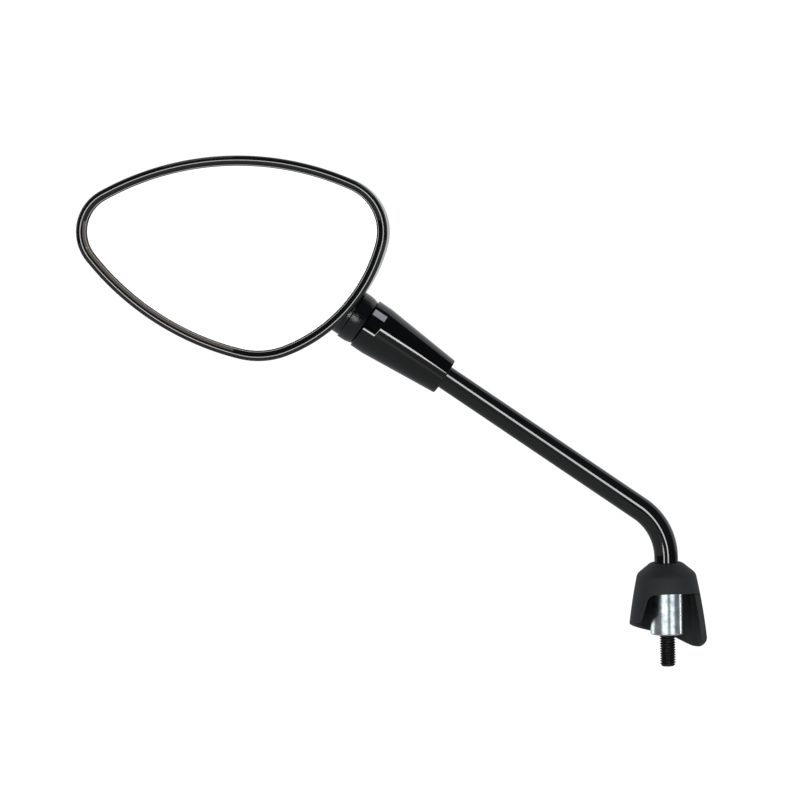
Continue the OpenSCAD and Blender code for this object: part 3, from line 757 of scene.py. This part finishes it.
sleeve_piece = turned_piece(
    "joint_sleeve",
    sleeve_outline(),
    arm_frame @ Matrix.Translation((0, 0, sleeve_start)),
    gloss_black,
    around=sleeve_around,
    closed=True,
)
strip_low = Vector((-0.371, front_lights, -0.237))
strip_high = Vector((0.392, front_lights, 0.37))
strip_run = strip_high - strip_low
strip_middle = (strip_low + strip_high) / 2
strip_lean = math.degrees(math.atan2(strip_run.z, strip_run.x))
below = Vector((strip_run.z, 0, -strip_run.x)).normalized()
square_way = Vector((0.573, -0.344, 0.744))
square_high = panel("square_high", ball + 1.4 * square_way, (0.79, 0.20), 6, lean=24.8, aim=ball)
square_high.data.color = (0.93, 0.96, 1.08)
sleeve_lights = [
    panel("sleeve_strip", strip_middle, (strip_run.length * 1.4, 0.042), 17, lean=strip_lean),
    panel(
        "sleeve_glow",
        strip_middle + below * 0.28,
        (strip_run.length * 1.3, 0.5),
        0.30,
        lean=strip_lean,
    ),
    square_high,
]
for light in sleeve_lights:
    lit_only(light, [sleeve_piece])
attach(sleeve_piece, "sleeve")
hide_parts("sleeve")


# Grip ring: a small ring of smooth rubber in the sleeve's close bore, which holds the sleeve
# where it is pushed to on the stem. It keeps the shape of its CAD node.
smooth_rubber = finish("smooth_rubber", (0.02, 0.02, 0.02), (0.012, 0.012, 0.012), (0.45, 0.6),
                       scales=(200, 1200), bump=0.1)


def dress(node, material):
    """Gives a CAD node that keeps its own shape its finish."""
    for slot in nodes[node].material_slots:
        slot.material = material


dress("grip_ring", smooth_rubber)


# Neck cover: a collar of satin black plastic, a ball below and a short tube above, that closes
# the joint off where the head leaves the sleeve.
neck_r = 13 * MM
neck_wall = 1.4 * MM
neck_len = 12 * MM
neck_step = 0.8 * MM
neck_step_at = 2.8 * MM
neck_draft = 0.1 * MM
neck_inner_taper = 0.6 * MM
neck_mouth = math.radians(38.9)
ball_steps = 32
inner_steps = 24


def neck_outline():
    """Closed section of the neck cover: the ball, its shoulder, the tube and the inside."""
    outline = []
    for k in range(ball_steps + 1):
        a = neck_mouth + (math.pi / 2 - neck_mouth) * k / ball_steps
        outline.append((neck_r * math.sin(a), -neck_r * math.cos(a)))
    tube_r = neck_r - neck_step
    inner = neck_r - neck_wall
    outline += filleted([
        (neck_r, 0, 0),
        (neck_r, neck_step_at, 0.35 * MM),
        (tube_r, neck_step_at, 0.2 * MM),
        (tube_r - neck_draft, neck_len, 0.2 * MM),
        (inner - neck_inner_taper, neck_len, 0),
    ], steps=5)[1:]
    outline.append((inner, 0))
    for k in range(1, inner_steps + 1):
        a = math.pi / 2 + (neck_mouth - math.pi / 2) * k / inner_steps
        outline.append((inner * math.sin(a), -inner * math.cos(a)))
    return outline


satin_black = finish("satin_black", (0.009, 0.0095, 0.0105), (0.005, 0.005, 0.006), (0.09, 0.20),
                     scales=(500, 2600), contrast=2.6, bump=0.6, bump_depth=0.05 * MM)
neck_piece = turned_piece(
    "neck_collar",
    neck_outline(),
    arm_frame @ Matrix.Translation((0, 0, ball_at)),
    satin_black,
    around=160,
    closed=True,
)
neck_card = panel("neck_card", (ball.x - 0.03, front_lights, 0.07), (0.18, 0.36), 14)
lit_only(neck_card, [neck_piece])
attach(neck_piece, "head")
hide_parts("neck_cover")


# Ball joint: a polished steel ball on a threaded shank, locked in the stem by a nut and a spring
# washer, between two nylon seats. A ring and a conical spring press them into a die-cast housing.
polished_steel = finish("polished_steel", (0.66, 0.67, 0.68), (0.50, 0.51, 0.53), (0.08, 0.2),
                        metallic=1, scales=(150, 1100), bump=0.03)
plain_steel = finish("plain_steel", (0.55, 0.56, 0.57), (0.36, 0.37, 0.39), (0.25, 0.42),
                     metallic=1, scales=(260, 1300), bump=0.1)
zinc_steel = finish("zinc_steel", (0.70, 0.73, 0.73), (0.46, 0.50, 0.52), (0.2, 0.38),
                    metallic=1, scales=(300, 1500), bump=0.1)
spring_steel = finish("spring_steel", (0.34, 0.33, 0.34), (0.18, 0.18, 0.20), (0.25, 0.4),
                      metallic=1, scales=(220, 1300), bump=0.08)
nylon = finish("natural_nylon", (0.72, 0.70, 0.64), (0.62, 0.60, 0.55), (0.38, 0.5),
               scales=(140, 1200), bump=0.05)
die_cast = finish("die_cast", (0.42, 0.43, 0.44), (0.30, 0.31, 0.32), (0.42, 0.6),
                  metallic=0.9, scales=(260, 1700), bump=0.3)
dress("ball_stud", polished_steel)
dress("lock_washer", spring_steel)
dress("lock_nut", zinc_steel)
dress("ball_seat_lower", nylon)
dress("ball_seat_upper", nylon)
dress("pressure_ring", plain_steel)
dress("disc_spring", spring_steel)
dress("retaining_ring", plain_steel)
dress("joint_housing", die_cast)
dress("bracket_screws", zinc_steel)


# Head shell: a bowl moulded in gloss black plastic, cut out round the neck. Its outline is three
# corner arcs joined by three long arcs, and its sides swell out a little towards the neck and on
# the side nearest the arm before they close at the back.
tip_r, low_r, high_r = 23 * MM, 40.5 * MM, 27.7 * MM
corner_centres = [Vector((-114.2, 45.9)) * MM, Vector((-48, 20.9)) * MM, Vector((-11, 43.7)) * MM]
corner_radii = [tip_r, low_r, high_r]
edge_radii = [138.6 * MM, 80.4 * MM, 141 * MM]
shell_front = 16.6 * MM
shell_back = 20 * MM
shell_wall = 2.4 * MM
shell_full = 3.0
shell_swell = 2.8 * MM
side_bulge = 1.25 * MM
bulge_way = math.radians(8)
bulge_end = 26
neck_gap = 0.3 * MM
crown = Vector((-58, 32)) * MM
outline_spacing = 0.9 * MM
cutter_low = -20 * MM


def edge_centre(i):
    """Centre of the long arc that touches corner arcs i and i + 1 from outside them."""
    j = (i + 1) % 3
    step = corner_centres[j] - corner_centres[i]
    a = edge_radii[i] - corner_radii[i]
    b = edge_radii[i] - corner_radii[j]
    along = (a * a - b * b + step.length_squared) / (2 * step.length)
    up = math.sqrt(a * a - along * along)
    unit = step.normalized()
    return corner_centres[i] + unit * along + Vector((-unit.y, unit.x)) * up


def head_outline(inset):
    """Closed outline of the head, moved inwards by inset, as evenly spaced points."""
    points = []

    def arc(centre, radius, start, end):
        first = math.atan2(start.y, start.x)
        last = math.atan2(end.y, end.x)
        if last < first:
            last += 2 * math.pi
        steps = round((last - first) * (radius + inset) / outline_spacing)
        for k in range(steps):
            a = first + (last - first) * k / steps
            points.append(centre + radius * Vector((math.cos(a), math.sin(a))))

    for i in range(3):
        before, after = edge_centre((i + 2) % 3), edge_centre(i)
        j = (i + 1) % 3
        centre, following = corner_centres[i], corner_centres[j]
        arc(centre, corner_radii[i] - inset, centre - before, centre - after)
        arc(after, edge_radii[i] - inset, centre - after, following - after)
    return points


def shell_rings(inset, front, back, stages):
    """Rings of the bowl's skin from its front edge to near its crown."""
    edge = head_outline(inset)
    lean = Vector((math.sin(arm_lean), -math.cos(arm_lean)))
    sides = []
    for p in edge:
        off_bulge = math.atan2(p.y - crown.y, p.x - crown.x) - bulge_way
        sides.append(max(0, math.cos(off_bulge)) ** 5)
    rings = []
    for stage in stages:
        t = math.radians(stage)
        grow = math.cos(t) ** (2 / shell_full)
        depth = front + (back - front) * math.sin(t) ** (2 / shell_full)
        swell = shell_swell * math.sin(min(2 * t, math.pi / 2)) * grow
        bulge = side_bulge * math.sin(math.pi * min(stage / bulge_end, 1)) ** 2
        ring = []
        for p, side in zip(edge, sides):
            outwards = p - crown
            flat = crown + outwards * grow + lean * swell + outwards.normalized() * bulge * side
            ring.append(Vector((flat.x, depth, flat.y)) + ball)
        rings.append(ring)
    return rings


def skin(name, rings, material, cap_first=False, cap_last=False, loop=False):
    """Smooth mesh through rings of equal length."""
    shape = bmesh.new()
    rows = [[shape.verts.new(p) for p in ring] for ring in rings]
    pairs = list(zip(rows, rows[1:]))
    if loop:
        pairs.append((rows[-1], rows[0]))
    for low, high in pairs:
        for k in range(len(low)):
            nxt = (k + 1) % len(low)
            shape.faces.new((low[k], low[nxt], high[nxt], high[k])).smooth = True
    for wanted, row in ((cap_first, rows[0]), (cap_last, rows[-1])):
        if wanted:
            centre = shape.verts.new(sum((v.co for v in row), Vector()) / len(row))
            for k in range(len(row)):
                shape.faces.new((row[k], row[(k + 1) % len(row)], centre)).smooth = True
    return piece_from(name, shape, material)


def cut_away(piece, cutter):
    """Takes a cutter's volume out of a piece and removes the cutter."""
    cut = piece.modifiers.new("cut", "BOOLEAN")
    cut.operation = "DIFFERENCE"
    cut.solver = "EXACT"
    cut.object = cutter
    bpy.context.view_layer.update()
    evaluated = piece.evaluated_get(bpy.context.evaluated_depsgraph_get())
    mesh = bpy.data.meshes.new_from_object(evaluated)
    mesh.name = piece.name
    piece.modifiers.clear()
    piece.data = mesh
    bpy.data.objects.remove(cutter)


outer_stages = [
    *(0, 1, 2.5),
    *range(5, 19, 2),
    *range(20, 27, 3),
    *range(30, 76, 5),
    *(79, 83, 86, 88.5),
]
inner_stages = [0, 4, *range(12, 61, 12), 72, 80, 86]
shell_piece = skin(
    "head_shell",
    shell_rings(0, -shell_front, shell_back, outer_stages)[::-1]
    + shell_rings(shell_wall, -shell_front, shell_back - shell_wall, inner_stages),
    gloss_black,
    cap_first=True,
    cap_last=True,
)
cutter_r = neck_r + neck_gap
cutter = turned_piece(
    "neck_cutter",
    [
        (0, cutter_low),
        (cutter_r, cutter_low),
        (cutter_r, neck_step_at + neck_gap),
        (cutter_r - neck_step, neck_step_at + neck_gap),
        (cutter_r - neck_step - neck_draft, neck_len + neck_gap),
        (0, neck_len + neck_gap),
    ],
    arm_frame @ Matrix.Translation((0, 0, ball_at)),
    gloss_black,
)
cut_away(shell_piece, cutter)
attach(shell_piece, "head")
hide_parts("shell")


# Bezel: a rim of gloss black plastic snapped round the front of the shell. Outside it has a
# rounded bead with a narrow flat crest, and inside that a sloping lip with a fine rib, which laps
# over the edge of the glass.
bezel_h = 3.5 * MM
bead_w = 3.2 * MM
bezel_w = 5.2 * MM
skirt_len = 3.6 * MM
skirt_t = 0.8 * MM
skirt_out = shell_wall + 1.4 * MM
lip_back = -shell_front - 1.05 * MM
lip_t = 0.45 * MM
front = -shell_front - bezel_h
crest = 2.1 * MM
crest_land = 0.29 * MM
dip = bead_w + 0.1 * MM
dip_depth = front + 0.75 * MM
lip_front = lip_back - lip_t
rib_h = 0.10 * MM
rib_w = 0.30 * MM
rib_in = 0.6 * MM
rim_reach = 1.5


def lip_rib(inset):
    """Corners of a fine rounded rib on the lip's slope."""
    slope = (lip_front - dip_depth) / (bezel_w - dip)
    foot = dip_depth + slope * (inset - dip)
    return [
        (inset - rib_w, foot - slope * rib_w, 0.03 * MM),
        (inset - 0.4 * rib_w, foot - rib_h, 0.05 * MM),
        (inset + 0.4 * rib_w, foot - rib_h, 0.05 * MM),
        (inset + rib_w, foot + slope * rib_w, 0.03 * MM),
    ]


bezel_section = filleted([
    (0, front + 2.0 * MM, 1.2 * MM),
    (0.6 * MM, front + 1.1 * MM, 1.5 * MM),
    (crest - crest_land, front, 0.45 * MM),
    (crest + crest_land, front, 0.35 * MM),
    (dip, dip_depth, 0.25 * MM),
    *lip_rib(bezel_w - rib_in),
    (bezel_w, lip_front, 0.15 * MM),
    (skirt_out, lip_back, 0),
    (skirt_out, -shell_front + skirt_len, 0.1 * MM),
    (skirt_out - skirt_t, -shell_front + skirt_len, 0.1 * MM),
    (skirt_out - skirt_t, -shell_front, 0),
    (0, -shell_front, 0.25 * MM),
], steps=6, closed=True)
rim_rows = [
    [Vector((p.x, depth, p.y)) + ball for p in head_outline(inset)]
    for inset, depth in bezel_section
]
bezel_piece = skin("rim_bezel", rim_rows, gloss_black, loop=True)


def rim_light(name, turn, turn_span, tilt, tilt_span, brightness, colour):
    """Panel for the rim alone, at a turn round the head and a tilt off the camera's way."""
    a, t = math.radians(turn), math.radians(tilt)
    way = Vector((math.sin(t) * math.cos(a), -math.cos(t), math.sin(t) * math.sin(a)))
    down = Vector((math.cos(t) * math.cos(a), math.sin(t), math.cos(t) * math.sin(a)))
    base = way.to_track_quat("Z", "Y").to_matrix()
    lean = math.atan2(down.dot(base.col[1]), down.dot(base.col[0]))
    size = [2 * rim_reach * math.tan(math.radians(span) / 2) for span in (tilt_span, turn_span)]
    place = ball + rim_reach * way
    light = panel(name, place, size, brightness, lean=math.degrees(lean), aim=ball)
    light.data.color = colour
    lit_only(light, [bezel_piece])


cool = (0.90, 1.0, 1.03)
warm = (1.15, 0.98, 0.76)
rim_card = panel("rim_card", (ball.x - 0.10, front_lights, 0.02), (0.5, 0.5), 12)
lit_only(rim_card, [bezel_piece])
rim_light("rim_high_left", 102, 16, 88, 8, 3.4, cool)
rim_light("rim_high_right", 51, 22, 88, 8, 4, cool)
for turn in (-50, 0, 50):
    rim_light(f"rim_warm_{turn}", turn, 46, 62, 14, 2.1, warm)
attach(bezel_piece, "head")
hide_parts("bezel")


# Glass: a silvered convex glass with a ground edge, cut to the head's outline. The rim's lip laps
# over its edge from the front, and a foam pad holds it from behind.
glass_r = 1300 * MM
glass_t = 2.2 * MM
glass_edge_in = 4.6 * MM
glass_apex = -shell_front - 1.5 * MM
glass_mid = Vector((-61, 31)) * MM
glass_arris = 0.25 * MM
glass_rows = 24


def glass_rings(inset, depth_in, shares):
    """Rings on the glass's sphere at a depth, from the edge to near its middle."""
    edge = head_outline(inset)
    rings = []
    for share in shares:
        ring = []
        for p in edge:
            flat = glass_mid + (p - glass_mid) * share
            away = (flat - glass_mid).length_squared
            bow = glass_r - math.sqrt(glass_r**2 - away)
            ring.append(Vector((flat.x, glass_apex + depth_in + bow, flat.y)) + ball)
        rings.append(ring)
    return rings


shares = [k / glass_rows for k in range(1, glass_rows + 1)]
glass_piece = skin(
    "mirror_glass",
    glass_rings(glass_edge_in + glass_arris, 0, shares)
    + glass_rings(glass_edge_in, glass_arris, [1])
    + glass_rings(glass_edge_in, glass_t - glass_arris, [1])
    + glass_rings(glass_edge_in + glass_arris, glass_t, shares[::-1]),
    finish("silvered_glass", (0.95, 0.96, 0.96), (0.92, 0.935, 0.935), (0.004, 0.012),
           metallic=1, scales=(8, 60), contrast=1.0, bump=0.0),
    cap_first=True,
    cap_last=True,
)
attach(glass_piece, "head")
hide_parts("glass")
glass_card = panel("glass_card", (ball.x - 0.06, -2.6, ball.z + 0.2), (3.4, 2.6), 1.25)
lit_only(glass_card, [glass_piece])


# Behind the glass: a foam pad stuck to the glass, the ribbed plate that carries it, moulded in
# black plastic, and a rubber seal round its edge. They keep the shapes of their CAD nodes.
foam = finish("foam", (0.055, 0.055, 0.055), (0.03, 0.03, 0.03), (0.85, 0.95),
              scales=(500, 1800), contrast=3, bump=0.6, bump_depth=0.2 * MM)
moulded_plate = finish("moulded_plate", (0.022, 0.022, 0.023), (0.014, 0.014, 0.015),
                       (0.4, 0.55), scales=(120, 1300), bump=0.15)
dress("glass_pad", foam)
dress("backing_plate", moulded_plate)
dress("glass_seal", smooth_rubber)


# Strips: the boss, stem, sleeve, neck and glass have panels in place of the two upright strips,
# so the strips pass them by. The rim has both, and the shell and the boot have the strips alone.
strip_free = [boss_piece, stem_piece, sleeve_piece, neck_piece, glass_piece]
for strip in (strip_right, strip_left):
    lit_only(strip, strip_free, "EXCLUDE")
